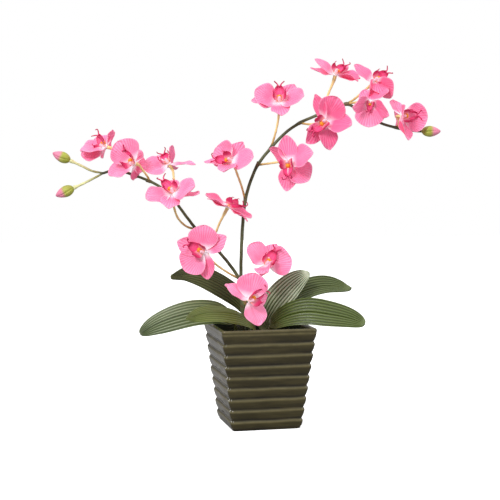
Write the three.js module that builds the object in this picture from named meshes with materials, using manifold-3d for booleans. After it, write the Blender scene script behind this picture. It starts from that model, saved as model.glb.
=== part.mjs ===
// Potted orchid arrangement: a square ribbed ceramic pot filled with foam and moss, six strap
// leaves, two arching flower spikes, sixteen blooms and three buds.
// Millimetres, +Z up. The origin is the centre of the pot's flat base and the pot's sides are
// square to X and Y. The plant is laid out in a frame of its own, turned about Z in the pot.
import * as THREE from 'three';
import { mergeVertices } from 'three/addons/utils/BufferGeometryUtils.js';
import Module from 'manifold-3d';

const wasm = await Module();
wasm.setup();

// ---------------------------------------------------------------- driving dimensions

const GAP = 0.35;

const POT_HEIGHT = 138.4;
const POT_TOP_HALF = 66;
const POT_BASE_HALF = 49;
const POT_WALL = 6;
const POT_FLOOR = 8;
const POT_CORNER = 5.5;
const RIB_COUNT = 8;
const RIB_PITCH = 15.1;
const FIRST_CREST = 10.9;
const CREST_TO_GROOVE = 4.5;
const GROOVE_DEPTH = 2.3;
const RIM_CREST = 134.7;

const FOAM_TOP = 100;
const MOSS_TOP = 115;
const STEM_FOOT = 86;

const PLANT_TURN = THREE.MathUtils.degToRad(-13.2);

const STALK_RADIUS = 2.8;
const LEAF_THICKNESS = 1.6;
const BARE_STALK = 0.27;

const STEM_RADIUS = 2.6;
const STEM_TIP_RADIUS = 1.7;
const STEM_STEPS = 24;
const PEDICEL_RADIUS = 1.1;
const PEDICEL_TOP_RADIUS = 1.6;
const PEDICEL_REACH = 11;
const HUB_BACK = 2.4;

const PETAL_LENGTH = 35;
const PETAL_WIDTH = 40;
const SEPAL_LENGTH = 37;
const SEPAL_WIDTH = 23;
const TEPAL_THICKNESS = 0.8;

const BUD_LENGTH = 24.8;
const BUD_RADIUS = 7.1;

// ---------------------------------------------------------------- colours and finishes

const finish = (color, roughness) => new THREE.MeshStandardMaterial({ color, roughness, metalness: 0 });

const GLAZE = finish(0x3d3826, 0.2);
const FOAM = finish(0x39422c, 0.95);
const MOSS = finish(0x2c2a19, 0.95);
const LEAF = finish(0x5a6238, 0.45);
const STEM = finish(0x554f3c, 0.6);
const PETAL = finish(0xfb8fb9, 0.6);
const LIP = finish(0xf03a74, 0.45);
const BUD = finish(0x9aa044, 0.5);

// ---------------------------------------------------------------- solids

const vector = ([x, y, z]) => new THREE.Vector3(x, y, z);

const smoothCurve = (points) => new THREE.CatmullRomCurve3(points.map(vector), false, 'centripetal');

function solidOf(geometry) {
  const bare = geometry.clone();
  bare.deleteAttribute('normal');
  bare.deleteAttribute('uv');
  const merged = mergeVertices(bare, 1e-4);
  const vertProperties = new Float32Array(merged.attributes.position.array);
  const triVerts = new Uint32Array(merged.index.array);
  return new wasm.Manifold(new wasm.Mesh({ numProp: 3, vertProperties, triVerts }));
}

function geometryOf(solid) {
  const { vertProperties, triVerts } = solid.getMesh();
  const geometry = new THREE.BufferGeometry();
  geometry.setAttribute('position', new THREE.BufferAttribute(vertProperties, 3));
  geometry.setIndex(new THREE.BufferAttribute(triVerts, 1));
  return geometry;
}

function join(geometries) {
  const solids = geometries.map(solidOf);
  return geometryOf(solids.reduce((whole, solid) => whole.add(solid)));
}

function cut(geometry, cutters) {
  const solids = cutters.map(solidOf);
  return geometryOf(solids.reduce((rest, solid) => rest.subtract(solid), solidOf(geometry)));
}

// Moves every vertex of a geometry to the point that the function gives for it.
function reshape(geometry, place) {
  const position = geometry.attributes.position;
  const point = new THREE.Vector3();
  for (let i = 0; i < position.count; i += 1) {
    point.fromBufferAttribute(position, i);
    const { x, y, z } = place(point);
    position.setXYZ(i, x, y, z);
  }
  return geometry;
}

// A round rod that follows a curve, with its radius given along it and its ends closed.
function rod(points, radiusAt, sides, steps) {
  const curve = smoothCurve(points);
  const frames = curve.computeFrenetFrames(steps);
  return reshape(new THREE.CylinderGeometry(1, 1, 1, sides, steps), (v) => {
    const step = Math.round((0.5 - v.y) * steps);
    const radius = radiusAt(step / steps);
    return curve.getPointAt(step / steps)
      .addScaledVector(frames.normals[step], radius * v.x)
      .addScaledVector(frames.binormals[step], radius * v.z);
  });
}

const taper = (from, to) => (t) => THREE.MathUtils.lerp(from, to, t);

// A thin plate: the function gives the point for a place across it (-1 to 1), along it (0 to 1)
// and through it (-1 to 1).
function plate(across, along, place) {
  return reshape(new THREE.BoxGeometry(2, 1, 2, across, along, 1), (v) => place(v.x, v.y + 0.5, v.z));
}

// ---------------------------------------------------------------- pot

const CORNER_STEPS = 4;

// A square vessel with rounded corners: each profile point holds a half-width and a height.
function squareVessel(profile, corner) {
  const outline = profile.map(([half, height]) => new THREE.Vector2(half, height));
  const segments = 4 * CORNER_STEPS;
  const geometry = new THREE.LatheGeometry(outline, segments);
  const position = geometry.attributes.position;
  for (let i = 0; i < position.count; i += 1) {
    const [half, height] = profile[i % profile.length];
    const turn = Math.floor(i / profile.length) % segments;
    const quarter = Math.floor(turn / CORNER_STEPS) * 0.5 * Math.PI;
    const angle = quarter + ((turn % CORNER_STEPS) / (CORNER_STEPS - 1)) * 0.5 * Math.PI;
    const radius = Math.min(corner, half);
    const reach = (half - radius) * Math.SQRT2;
    const x = reach * Math.cos(quarter + 0.25 * Math.PI) + radius * Math.cos(angle);
    const y = reach * Math.sin(quarter + 0.25 * Math.PI) + radius * Math.sin(angle);
    position.setXYZ(i, x, y, height);
  }
  return geometry;
}

const taperedHalf = (z) => POT_BASE_HALF + ((POT_TOP_HALF - POT_BASE_HALF) * z) / POT_HEIGHT;
const innerHalf = (z) => taperedHalf(z) - POT_WALL;

function potProfile() {
  const profile = [[0, 0], [taperedHalf(0) - GROOVE_DEPTH, 0]];
  for (let rib = 0; rib < RIB_COUNT; rib += 1) {
    const crest = FIRST_CREST + rib * RIB_PITCH;
    const middle = crest - 0.4 * RIB_PITCH;
    const groove = crest + CREST_TO_GROOVE;
    profile.push([taperedHalf(middle) - 0.35 * GROOVE_DEPTH, middle]);
    profile.push([taperedHalf(crest), crest]);
    profile.push([taperedHalf(groove) - GROOVE_DEPTH, groove]);
  }
  const mouth = innerHalf(POT_HEIGHT);
  profile.push([taperedHalf(RIM_CREST), RIM_CREST]);
  profile.push([taperedHalf(RIM_CREST) - 1.2, POT_HEIGHT]);
  profile.push([mouth + 1, POT_HEIGHT]);
  profile.push([mouth, POT_HEIGHT - 1.5]);
  profile.push([innerHalf(POT_FLOOR), POT_FLOOR]);
  profile.push([0, POT_FLOOR]);
  return profile;
}

// ---------------------------------------------------------------- plant layout

// Stem points run up from the foam. A flower's joint is the number of one of these points.
const LEFT_STEM = [
  [-12, -3, STEM_FOOT], [-12, -3, 118], [-15, -4, 150], [-20, -4, 183], [-27, -4, 201],
  [-54, -3, 237], [-71, -2, 252], [-86, -2, 269], [-108, -2, 298], [-120, -3, 315],
  [-135, -5, 327], [-149, -8, 335], [-170, -11, 343], [-195, -15, 350], [-211, -18, 346],
];
const RIGHT_STEM = [
  [-20, 6, STEM_FOOT], [-20, 6, 118], [-23, 6, 160], [-25, 5, 206], [-23, 4, 268],
  [-19, 2, 309], [-12, 0, 334], [-2, -2, 357], [16, -4, 380], [35, -6, 400],
  [55, -8, 414], [80, -10, 425], [98, -12, 433], [117, -14, 439], [130, -15, 434],
  [160, -20, 415], [184, -24, 407], [206, -28, 403], [217, -30, 402],
];

// Each bloom: its place, the way it faces (degrees left to right, degrees up), the directions of
// its petals, sepals and lip round its face (degrees anticlockwise from its right), its size,
// and the pedicel's points between the stem joint and the back of the bloom.
const BLOOMS = [
  { spike: 'left', at: [-207, -25, 382], face: [-65, 20], size: 0.95,
    petals: [330, 150], sepals: [85, 215, 290], lip: 90,
    joint: 12, via: [[-187, -7, 352], [-195, -7, 366]] },
  { spike: 'left', at: [-168, -38, 359], face: [-35, 10], size: 1,
    petals: [112, 218], sepals: [20, 165, 290], lip: 125,
    joint: 11, via: [[-152, -14, 342], [-158, -22, 351]] },
  { spike: 'left', at: [-124, 2, 359], face: [-60, 55], size: 0.95,
    petals: [237, 120], sepals: [55, 175, 330], lip: 120,
    joint: 9, via: [[-116, -1, 328], [-117, 1, 340]] },
  { spike: 'left', at: [-117, -38, 320], face: [-10, 52], size: 0.98,
    petals: [32, 190], sepals: [110, 255, 350], lip: 110,
    joint: 7, via: [[-99, -5, 273], [-110, -12, 284], [-115, -18, 298]] },
  { spike: 'right', at: [-39, -25, 362], face: [-30, 30], size: 0.98,
    petals: [2, 135], sepals: [62, 195, 250], lip: 190,
    joint: 5, via: [[-24, -5, 328], [-30, -10, 345]] },
  { spike: 'left', at: [-42, -22, 301], face: [80, 62], size: 0.95,
    petals: [75, 285], sepals: [120, 200, 355], lip: 250,
    joint: 6, via: [[-61, -7, 262], [-54, -14, 278]] },
  { spike: 'left', at: [-76, -36, 241], face: [-20, 5], size: 0.98,
    petals: [85, 228], sepals: [28, 165, 292], lip: 150,
    joint: 4, via: [[-44, -10, 211], [-63, -18, 226]] },
  { spike: 'right', at: [10, -15, 222], face: [20, 35], size: 0.98,
    petals: [140, 8], sepals: [62, 195, 245], lip: 60,
    joint: 2, via: [[-10, 5, 186], [1, 2, 205]] },
  { spike: 'left', at: [-13, -57, 178], face: [42, 5], size: 1,
    petals: [80, 350], sepals: [150, 215, 297], lip: 20,
    joint: 2, via: [[-17, -16, 157], [-22, -32, 168]] },
  { spike: 'right', at: [27, -15, 443], face: [0, 45], size: 0.98,
    petals: [172, 5], sepals: [130, 60, 270], lip: 90,
    joint: 8, via: [[22, -5, 400], [26, -6, 420]] },
  { spike: 'right', at: [39, -45, 360], face: [-20, 5], size: 0.98,
    petals: [98, 318], sepals: [30, 170, 260], lip: 275,
    joint: 7, via: [[13, -12, 359], [30, -24, 361]] },
  { spike: 'right', at: [87, -38, 415], face: [-15, 0], size: 1,
    petals: [65, 118], sepals: [345, 232, 272], lip: 225,
    joint: 10, via: [[68, -13, 412], [82, -20, 414]] },
  { spike: 'right', at: [104, 0, 480], face: [30, 60], size: 0.92,
    petals: [10, 220], sepals: [105, 161, 326], lip: 20,
    joint: 11, via: [[88, -7, 440], [96, 3, 458]] },
  { spike: 'right', at: [157, -5, 471], face: [30, 30], size: 0.92,
    petals: [230, 325], sepals: [95, 180, 275], lip: 40,
    joint: 13, via: [[126, -10, 444], [142, -2, 457]] },
  { spike: 'right', at: [147, -42, 440], face: [0, -5], size: 0.92,
    petals: [262, 90], sepals: [130, 200, 330], lip: 260,
    joint: 13, via: [[129, -18, 441], [141, -26, 441]] },
  { spike: 'right', at: [190, -42, 422], face: [35, 0], size: 0.92,
    petals: [5, 170], sepals: [110, 230, 290], lip: 5,
    joint: 16, via: [[180, -24, 414], [181, -25, 420]] },
];

const BUDS = [
  { name: 'bud_upper_left', spike: 'left', base: [-255, -24, 363], toward: [-20, -3, 9], size: 0.95,
    via: [[-226, -20, 349], [-240, -22, 356]] },
  { name: 'bud_lower_left', spike: 'left', base: [-251, -21, 326], toward: [-20, -2, -9], size: 1,
    via: [[-224, -19, 339], [-240, -20, 331]] },
  { name: 'bud_right', spike: 'right', base: [218, -30, 402], toward: [20, -2, 0], size: 0.9, via: [] },
];

// ---------------------------------------------------------------- leaves

// Each leaf: the line of its midrib, the way from its far edge to its near edge, its greatest
// half-width, how blunt its ends are (lower is blunter) and the depth of its midrib fold.
const LEAVES = [
  { name: 'leaf_far_left', half: 19.5, blunt: 0.42, fold: 0.16, across: [0.05, -0.5, -0.87],
    midrib: [[-30, 12, STEM_FOOT], [-30, 12, 118], [-36, 9, 140], [-54, 3, 153.5], [-82, -6, 156],
      [-112, -14, 151], [-142, -21, 140], [-162, -27, 128]] },
  { name: 'leaf_front_left', half: 18, blunt: 0.55, fold: 0.14, across: [0.4, -0.72, -0.57],
    midrib: [[-4, -17, STEM_FOOT], [-4, -17, 118], [-9, -22, 138], [-24, -31, 152], [-47, -44, 159],
      [-72, -57, 160], [-97, -70, 154]] },
  { name: 'leaf_upper_left', half: 21, blunt: 0.55, fold: 0.12, across: [0.42, -0.62, 0.66],
    midrib: [[-6, 24, STEM_FOOT], [-6, 24, 118], [-10, 25, 144], [-24, 28, 168], [-46, 31, 186],
      [-76, 34, 200], [-102, 37, 204], [-124, 40, 199]] },
  { name: 'leaf_upright', half: 20, blunt: 0.55, fold: 0.16, across: [0.72, -0.4, -0.57],
    midrib: [[7, 12, STEM_FOOT], [7, 12, 118], [9, 11, 138], [18, 11, 159], [34, 12, 180],
      [52, 14, 197], [70, 16, 208]] },
  { name: 'leaf_back_right', half: 18.5, blunt: 0.55, fold: 0.18, across: [0.2, -0.7, -0.68],
    midrib: [[12, 28, STEM_FOOT], [12, 28, 118], [18, 29, 140], [36, 33, 162], [62, 38, 179],
      [94, 43, 187], [131, 49, 182]] },
  { name: 'leaf_right', half: 21, blunt: 0.4, fold: 0.16, across: [0, -0.42, -0.91],
    midrib: [[10, -5, STEM_FOOT], [10, -5, 118], [17, -8, 136], [36, -13, 150], [64, -20, 157.5],
      [94, -26, 154], [122, -31, 149], [143, -36, 140]] },
];

const leafHalfWidth = (half, blunt, t) => {
  const blade = THREE.MathUtils.clamp((t - BARE_STALK) / (1 - BARE_STALK), 0, 1);
  const swell = Math.max(0, Math.sin(Math.PI * blade)) ** blunt;
  return STALK_RADIUS + (half - STALK_RADIUS) * swell;
};

function leafGeometry({ half, blunt, fold, across, midrib }) {
  const line = smoothCurve(midrib);
  const side = vector(across).normalize();
  return plate(4, 12, (u, t, through) => {
    const tangent = line.getTangentAt(t);
    const wide = side.clone().addScaledVector(tangent, -side.dot(tangent)).normalize();
    const up = wide.clone().cross(tangent);
    const halfWidth = leafHalfWidth(half, blunt, t);
    const blade = THREE.MathUtils.smoothstep(halfWidth, STALK_RADIUS, 3 * STALK_RADIUS);
    const thick = THREE.MathUtils.lerp(1.4 * STALK_RADIUS, LEAF_THICKNESS, blade);
    const edge = Math.sqrt(1.15 - u * u);
    return line.getPointAt(t)
      .addScaledVector(wide, u * halfWidth)
      .addScaledVector(up, fold * blade * Math.abs(u) * halfWidth + 0.5 * thick * edge * through);
  });
}

const pocketAt = ([x, y]) => {
  const pocket = new THREE.CylinderGeometry(STALK_RADIUS + 1, STALK_RADIUS + 1, 60, 10);
  pocket.rotateX(Math.PI / 2);
  pocket.translate(x, y, STEM_FOOT - 0.5 + 30);
  pocket.rotateZ(PLANT_TURN);
  return pocket;
};

// ---------------------------------------------------------------- blooms

const facing = ([turn, rise]) => new THREE.Quaternion()
  .setFromAxisAngle(new THREE.Vector3(0, 0, 1), THREE.MathUtils.degToRad(turn))
  .multiply(new THREE.Quaternion()
    .setFromAxisAngle(new THREE.Vector3(1, 0, 0), THREE.MathUtils.degToRad(90 - rise)));

// A tepal lies in the bloom's XY plane, points away from the middle and lifts towards +Z.
function tepal({ angle, length, width, peak, roundness, lift, level }) {
  const turn = THREE.MathUtils.degToRad(angle);
  return plate(2, 3, (u, v, through) => {
    const t = 1 - (1 - v) ** 1.5;
    const swell = Math.sin(Math.PI * t ** peak) ** roundness;
    const half = 2.4 * (1 - t) + 0.5 * width * swell + 1.2 * t;
    const reach = 1.5 + length * t;
    const height = level + lift * t * t + 0.12 * half * t * u * u + 0.5 * TEPAL_THICKNESS * through;
    return new THREE.Vector3(
      reach * Math.cos(turn) + u * half * Math.sin(turn),
      reach * Math.sin(turn) - u * half * Math.cos(turn),
      height,
    );
  });
}

const petal = (angle) => tepal({
  angle, length: PETAL_LENGTH, width: PETAL_WIDTH, peak: 1.15, roundness: 0.6, lift: 7, level: 0.3,
});
const sepal = (angle) => tepal({
  angle, length: SEPAL_LENGTH, width: SEPAL_WIDTH, peak: 1.05, roundness: 0.8, lift: 0, level: -0.9,
});

function bloomGeometry({ petals, sepals }) {
  const hub = new THREE.CylinderGeometry(4, 3, 2.4, 8);
  hub.rotateX(Math.PI / 2);
  hub.translate(0, 0, -0.5);
  return join([hub, ...sepals.map(sepal), ...petals.map(petal)]);
}

const LIP_FRONT = 1.4;

// The lip's own middle line points down the bloom's -Y before it is turned to its direction.
function lipGeometry({ lip }) {
  const column = rod([[0, 0, LIP_FRONT], [0, 0, 5], [0, 0, 10]], taper(3, 1.8), 5, 2);
  const midlobe = plate(2, 3, (u, t, through) => {
    const half = 1.6 + 5 * Math.sin(Math.PI * Math.min(1, 0.12 + t * 0.86));
    const y = -1 - 19 * t;
    const z = 2.3 + 9 * Math.sin(0.5 * Math.PI * t) - 0.12 * half * (1 - u * u);
    return new THREE.Vector3(-u * half, y, z + 0.45 * through);
  });
  const sideLobe = (side) => plate(1, 2, (u, t, through) => {
    const half = 2.2 + 3.4 * Math.sin(Math.PI * (0.15 + 0.7 * t));
    const x = side * (1 + 7 * Math.sin(0.6 * Math.PI * t) + 0.5 * through);
    return new THREE.Vector3(x, -1.5 + side * u * half, 2.4 + 10 * t);
  });
  const tendril = (side) => rod(
    [[side, -18, 11], [side * 3, -23, 12], [side * 7, -25, 16], [side * 7, -21, 20]],
    taper(0.9, 0.6), 3, 2,
  );
  const whole = join([column, midlobe, sideLobe(1), sideLobe(-1), tendril(1), tendril(-1)]);
  return whole.rotateZ(THREE.MathUtils.degToRad(lip + 90));
}

// The pedicel ends just behind the bloom's hub and comes to it squarely from the back.
function pedicel(stem, { at, face, via, joint }) {
  const back = new THREE.Vector3(0, 0, -1).applyQuaternion(facing(face));
  const end = vector(at).addScaledVector(back, HUB_BACK);
  const approach = vector(at).addScaledVector(back, PEDICEL_REACH);
  const points = [stem[joint], ...via, approach.toArray(), end.toArray()];
  return rod(points, taper(PEDICEL_RADIUS, PEDICEL_TOP_RADIUS), 5, 6);
}

function budStalk(stem, { base, toward, via }) {
  const end = vector(base).addScaledVector(vector(toward).normalize(), -GAP);
  return rod([stem.at(-1), ...via, end.toArray()], taper(PEDICEL_RADIUS, PEDICEL_TOP_RADIUS), 5, 5);
}

function budGeometry(size) {
  const profile = [
    [0, 0], [2.6, 0.2], [6, 4.9], [BUD_RADIUS, 10.5], [5.6, 17.2], [2.2, 23], [0, BUD_LENGTH],
  ];
  const outline = profile.map(([radius, height]) => new THREE.Vector2(radius * size, height * size));
  const bud = new THREE.LatheGeometry(outline, 10);
  bud.rotateX(Math.PI / 2);
  return bud;
}

function spikeGeometry(stem, blooms, buds) {
  const trunk = rod(stem, taper(STEM_RADIUS, STEM_TIP_RADIUS), 6, STEM_STEPS);
  return join([
    trunk,
    ...blooms.map((bloom) => pedicel(stem, bloom)),
    ...buds.map((bud) => budStalk(stem, bud)),
  ]);
}

// ---------------------------------------------------------------- assembly

const arrangement = new THREE.Group();
const plant = new THREE.Group();
plant.rotation.z = PLANT_TURN;
arrangement.add(plant);

function add(group, name, geometry, material) {
  const mesh = new THREE.Mesh(geometry, material);
  mesh.name = name;
  group.add(mesh);
  return mesh;
}

add(arrangement, 'pot', squareVessel(potProfile(), POT_CORNER), GLAZE);

const feet = [...LEAVES.map(({ midrib }) => midrib[0]), LEFT_STEM[0], RIGHT_STEM[0]];
const pockets = feet.map(pocketAt);
const filling = (low, high) => squareVessel([
  [0, low], [innerHalf(low) - GAP, low], [innerHalf(high) - GAP, high], [0, high],
], POT_CORNER - GAP);
add(arrangement, 'foam_block', cut(filling(POT_FLOOR + GAP, FOAM_TOP), pockets), FOAM);
add(arrangement, 'moss_cover', cut(filling(FOAM_TOP + GAP, MOSS_TOP), pockets), MOSS);

LEAVES.forEach((leaf) => add(plant, leaf.name, leafGeometry(leaf), LEAF));

Object.entries({ left: LEFT_STEM, right: RIGHT_STEM }).forEach(([side, stem]) => {
  const blooms = BLOOMS.filter(({ spike }) => spike === side);
  const buds = BUDS.filter(({ spike }) => spike === side);
  add(plant, `${side}_spike`, spikeGeometry(stem, blooms, buds), STEM);
});

const number = (index) => String(index + 1).padStart(2, '0');
BLOOMS.forEach((bloom, index) => {
  const pieces = [
    add(plant, `flower_${number(index)}_petals`, bloomGeometry(bloom), PETAL),
    add(plant, `flower_${number(index)}_lip`, lipGeometry(bloom), LIP),
  ];
  pieces.forEach((piece) => {
    piece.position.set(...bloom.at);
    piece.quaternion.copy(facing(bloom.face));
    piece.scale.setScalar(bloom.size);
  });
});

BUDS.forEach(({ name, base, toward, size }) => {
  const bud = add(plant, name, budGeometry(size), BUD);
  bud.position.set(...base);
  bud.quaternion.setFromUnitVectors(new THREE.Vector3(0, 0, 1), vector(toward).normalize());
});

export default arrangement;
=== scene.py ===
# %% [markdown]
# # A silk orchid in a ribbed ceramic pot
#
# The real object is a made-up arrangement. A square glazed pot is filled with floral foam and
# covered with moss. Six plastic-coated leaves and two wired flower spikes are pushed into the
# foam. Sixteen fabric blooms and three buds hang on the spikes.
#
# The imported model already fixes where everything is. This lesson loads it first, keeps the foam
# block as it is, and stands a finely shaped piece in the place of every other part.

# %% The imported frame
import math

import bpy
import numpy as np
from mathutils import Matrix, Vector, noise


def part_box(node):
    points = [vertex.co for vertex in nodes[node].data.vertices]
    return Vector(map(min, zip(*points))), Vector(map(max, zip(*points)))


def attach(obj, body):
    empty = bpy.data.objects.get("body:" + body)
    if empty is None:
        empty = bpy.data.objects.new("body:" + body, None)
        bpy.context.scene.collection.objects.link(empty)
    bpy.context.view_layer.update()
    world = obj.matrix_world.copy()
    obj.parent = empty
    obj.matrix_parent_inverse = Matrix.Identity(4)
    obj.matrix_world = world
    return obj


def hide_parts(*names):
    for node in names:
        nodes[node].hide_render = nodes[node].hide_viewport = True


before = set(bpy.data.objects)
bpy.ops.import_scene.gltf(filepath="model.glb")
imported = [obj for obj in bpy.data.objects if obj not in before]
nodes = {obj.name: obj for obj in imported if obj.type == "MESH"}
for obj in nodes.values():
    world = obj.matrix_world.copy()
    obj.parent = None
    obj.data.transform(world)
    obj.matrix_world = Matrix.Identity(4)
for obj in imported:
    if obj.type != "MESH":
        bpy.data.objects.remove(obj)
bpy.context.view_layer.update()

scene = bpy.context.scene

# %% [markdown]
# ## Units and the turn of the plant
#
# The pot stands square to X and Y. The florist set the plant a little askew in it, so the plant
# has a frame of its own, turned about the upright axis. Working in millimetres in that frame
# keeps the numbers easy to read. One function brings points into the shared frame in metres.

# %% From the plant's millimetres to the shared frame
MM = 0.001
PLANT_TURN = math.radians(-13.2)
plant_axes = np.array(Matrix.Rotation(PLANT_TURN, 3, "Z"))


def planted(points):
    """Turns points from the plant's frame into the pot's frame."""
    return np.asarray(points) @ plant_axes.T


print("plant turn in degrees:", round(math.degrees(PLANT_TURN), 1))

# %% [markdown]
# ## The camera
#
# The arrangement is seen from a little above its middle and from the front, through a long lens,
# so upright lines stay upright. The camera belongs to the plant's frame, which makes two of the
# pot's faces visible.

# %% Camera
CAMERA_PLACE = (-0.0125, -1.723, 0.361)
CAMERA_TILT = math.radians(86)
SENSOR = 36.0
FOCAL_IN_FRAMES = 2.516

camera_data = bpy.data.cameras.new("camera")
camera_data.sensor_width = SENSOR
camera_data.lens = SENSOR * FOCAL_IN_FRAMES
camera = bpy.data.objects.new("camera", camera_data)
camera.matrix_world = (
    Matrix.Rotation(PLANT_TURN, 4, "Z")
    @ Matrix.Translation(CAMERA_PLACE)
    @ Matrix.Rotation(CAMERA_TILT, 4, "X")
)
scene.collection.objects.link(camera)
scene.camera = camera
print("lens in mm:", round(camera_data.lens, 1))

# %% [markdown]
# ## Studio
#
# The arrangement stands on a white sweep under soft light. The key lamp is high on the left, where
# it brings out the ribs of the leaves and puts a glint on the pot's corners. A wider, weaker lamp
# fills the right, and a small one low behind the left draws a second line of glints down the
# corner. The sky and the paper are bright only to the camera: what the glaze mirrors and what
# lights the plant from below is dimmer, so a white background doesn't wash the colours out.

# %% Floor, sky and lamps
scene.view_settings.view_transform = "Standard"


def add_node(tree, kind, settings=None, inputs=None):
    """Adds a shader node; an input is either a value or another node's output."""
    node = tree.nodes.new(kind)
    for key, value in (settings or {}).items():
        setattr(node, key, value)
    for key, value in (inputs or {}).items():
        if isinstance(value, bpy.types.NodeSocket):
            tree.links.new(value, node.inputs[key])
        else:
            node.inputs[key].default_value = value
    return node


sky = bpy.data.worlds.new("studio_sky")
sky.use_nodes = True
sky.node_tree.nodes.clear()
way = add_node(sky.node_tree, "ShaderNodeTexCoord")
split = add_node(sky.node_tree, "ShaderNodeSeparateXYZ", None, {0: way.outputs["Generated"]})
dome = add_node(sky.node_tree, "ShaderNodeMapRange", {"interpolation_type": "SMOOTHSTEP"},
                {"Value": split.outputs["Z"], "From Min": 0.0, "From Max": 0.75,
                 "To Min": 0.22, "To Max": 1.0})
WHITE = (1, 1, 1, 1)
seen = add_node(sky.node_tree, "ShaderNodeBackground", None, {"Color": WHITE, "Strength": 1.0})
lit = add_node(sky.node_tree, "ShaderNodeBackground", None,
               {"Color": WHITE, "Strength": dome.outputs[0]})
ray = add_node(sky.node_tree, "ShaderNodeLightPath")
both = add_node(sky.node_tree, "ShaderNodeMixShader", None,
                {0: ray.outputs["Is Camera Ray"], 1: lit.outputs[0], 2: seen.outputs[0]})
add_node(sky.node_tree, "ShaderNodeOutputWorld", None, {"Surface": both.outputs[0]})
scene.world = sky


def add_lamp(name, place, aim, width, power):
    """A square area lamp; places in metres, power in watts."""
    lamp_data = bpy.data.lights.new(name, "AREA")
    lamp_data.shape = "SQUARE"
    lamp_data.size = width
    lamp_data.energy = power
    lamp = bpy.data.objects.new(name, lamp_data)
    lamp.location = place
    lamp.rotation_euler = (Vector(aim) - Vector(place)).to_track_quat("-Z", "Y").to_euler()
    scene.collection.objects.link(lamp)


add_lamp("key_lamp", (-1.25, -1.45, 1.55), (0, 0, 0.25), 0.6, 32)
add_lamp("fill_lamp", (1.6, -0.9, 0.9), (0, 0, 0.25), 1.4, 11)
add_lamp("side_lamp", (-0.93, 1.3, 0.35), (0, 0, 0.1), 0.3, 4)

FLOOR_SIZE = 8.0
floor_mesh = bpy.data.meshes.new("floor")
corner = FLOOR_SIZE / 2
floor_mesh.from_pydata(
    [(-corner, -corner, 0), (corner, -corner, 0), (corner, corner, 0), (-corner, corner, 0)],
    [], [(0, 1, 2, 3)])
floor = bpy.data.objects.new("floor", floor_mesh)
scene.collection.objects.link(floor)
paper = bpy.data.materials.new("white_paper")
paper.use_nodes = True
paper_shader = paper.node_tree.nodes["Principled BSDF"]
paper_shader.inputs["Base Color"].default_value = (0.9, 0.9, 0.9, 1)
paper_shader.inputs["Roughness"].default_value = 0.9
paper_shader.inputs["Specular IOR Level"].default_value = 0.1
paper_shader.inputs["Emission Color"].default_value = WHITE
paper_shader.inputs["Emission Strength"].default_value = 0.62
grey_paper = add_node(paper.node_tree, "ShaderNodeBsdfDiffuse", None,
                      {"Color": (0.34, 0.34, 0.34, 1)})
paper_ray = add_node(paper.node_tree, "ShaderNodeLightPath")
paper_mix = add_node(paper.node_tree, "ShaderNodeMixShader", None,
                     {0: paper_ray.outputs["Is Camera Ray"], 1: grey_paper.outputs[0],
                      2: paper_shader.outputs[0]})
paper_end = paper.node_tree.nodes["Material Output"].inputs["Surface"]
paper.node_tree.links.new(paper_mix.outputs[0], paper_end)
floor_mesh.materials.append(paper)
print("lamps:", len(bpy.data.lights), "floor side in metres:", FLOOR_SIZE)

# %% [markdown]
# ## Smooth lines
#
# Stems, leaf ribs and flower stalks are all bent wires underneath, so each starts as a short list
# of points that a smooth line runs through. A Catmull-Rom line spaced by the square root of the
# gaps never loops or overshoots between points that lie unevenly.

# %% A smooth line through points
LINE_STEPS = 30


def smooth_line(points):
    """A dense line through the points, with LINE_STEPS steps between each pair."""
    p = np.array(points, float)
    p = np.vstack([2 * p[0] - p[1], p, 2 * p[-1] - p[-2]])
    gap = np.sqrt(np.linalg.norm(np.diff(p, axis=0), axis=1))
    s = np.linspace(0, 1, LINE_STEPS, endpoint=False)[:, None]
    pieces = []
    for i in range(1, len(p) - 2):
        before, here, after = gap[i - 1:i + 2]
        into, across, out_of = p[i] - p[i - 1], p[i + 1] - p[i], p[i + 2] - p[i + 1]
        leave = into / before - (into + across) / (before + here) + across / here
        arrive = across / here - (across + out_of) / (here + after) + out_of / after
        pieces.append(
            (2 * s**3 - 3 * s**2 + 1) * p[i] + (s**3 - 2 * s**2 + s) * leave * here
            + (3 * s**2 - 2 * s**3) * p[i + 1] + (s**3 - s**2) * arrive * here)
    return np.vstack(pieces + [p[-2][None]])


def along_line(points, t):
    """Places and directions at the given shares of the line's length."""
    dense = smooth_line(points)
    step = np.linalg.norm(np.diff(dense, axis=0), axis=1)
    share = np.concatenate([[0], np.cumsum(step)]) / step.sum()
    heading = np.gradient(dense, axis=0)
    place = np.stack([np.interp(t, share, dense[:, k]) for k in range(3)], -1)
    way = np.stack([np.interp(t, share, heading[:, k]) for k in range(3)], -1)
    return place, unit(way)


def unit(v):
    return v / np.maximum(np.linalg.norm(v, axis=-1, keepdims=True), 1e-9)


def smoothstep(x, low, high):
    s = np.clip((x - low) / (high - low), 0, 1)
    return s * s * (3 - 2 * s)


print("points on a line of three spans:", len(smooth_line([(0, 0, 0), (1, 0, 0), (2, 1, 0), (3, 1, 1)])))

# %% [markdown]
# ## Thin sheets, round stalks and turned shapes
#
# Petals and leaves are cut from thin sheet. A sheet could be a single surface with a Solidify
# modifier, but building the front, the back and the edge together leaves a closed body with a
# thickness that can vary. Each point also keeps a few named numbers, such as how far it lies
# across and along the sheet, and the materials paint with them later.

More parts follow.
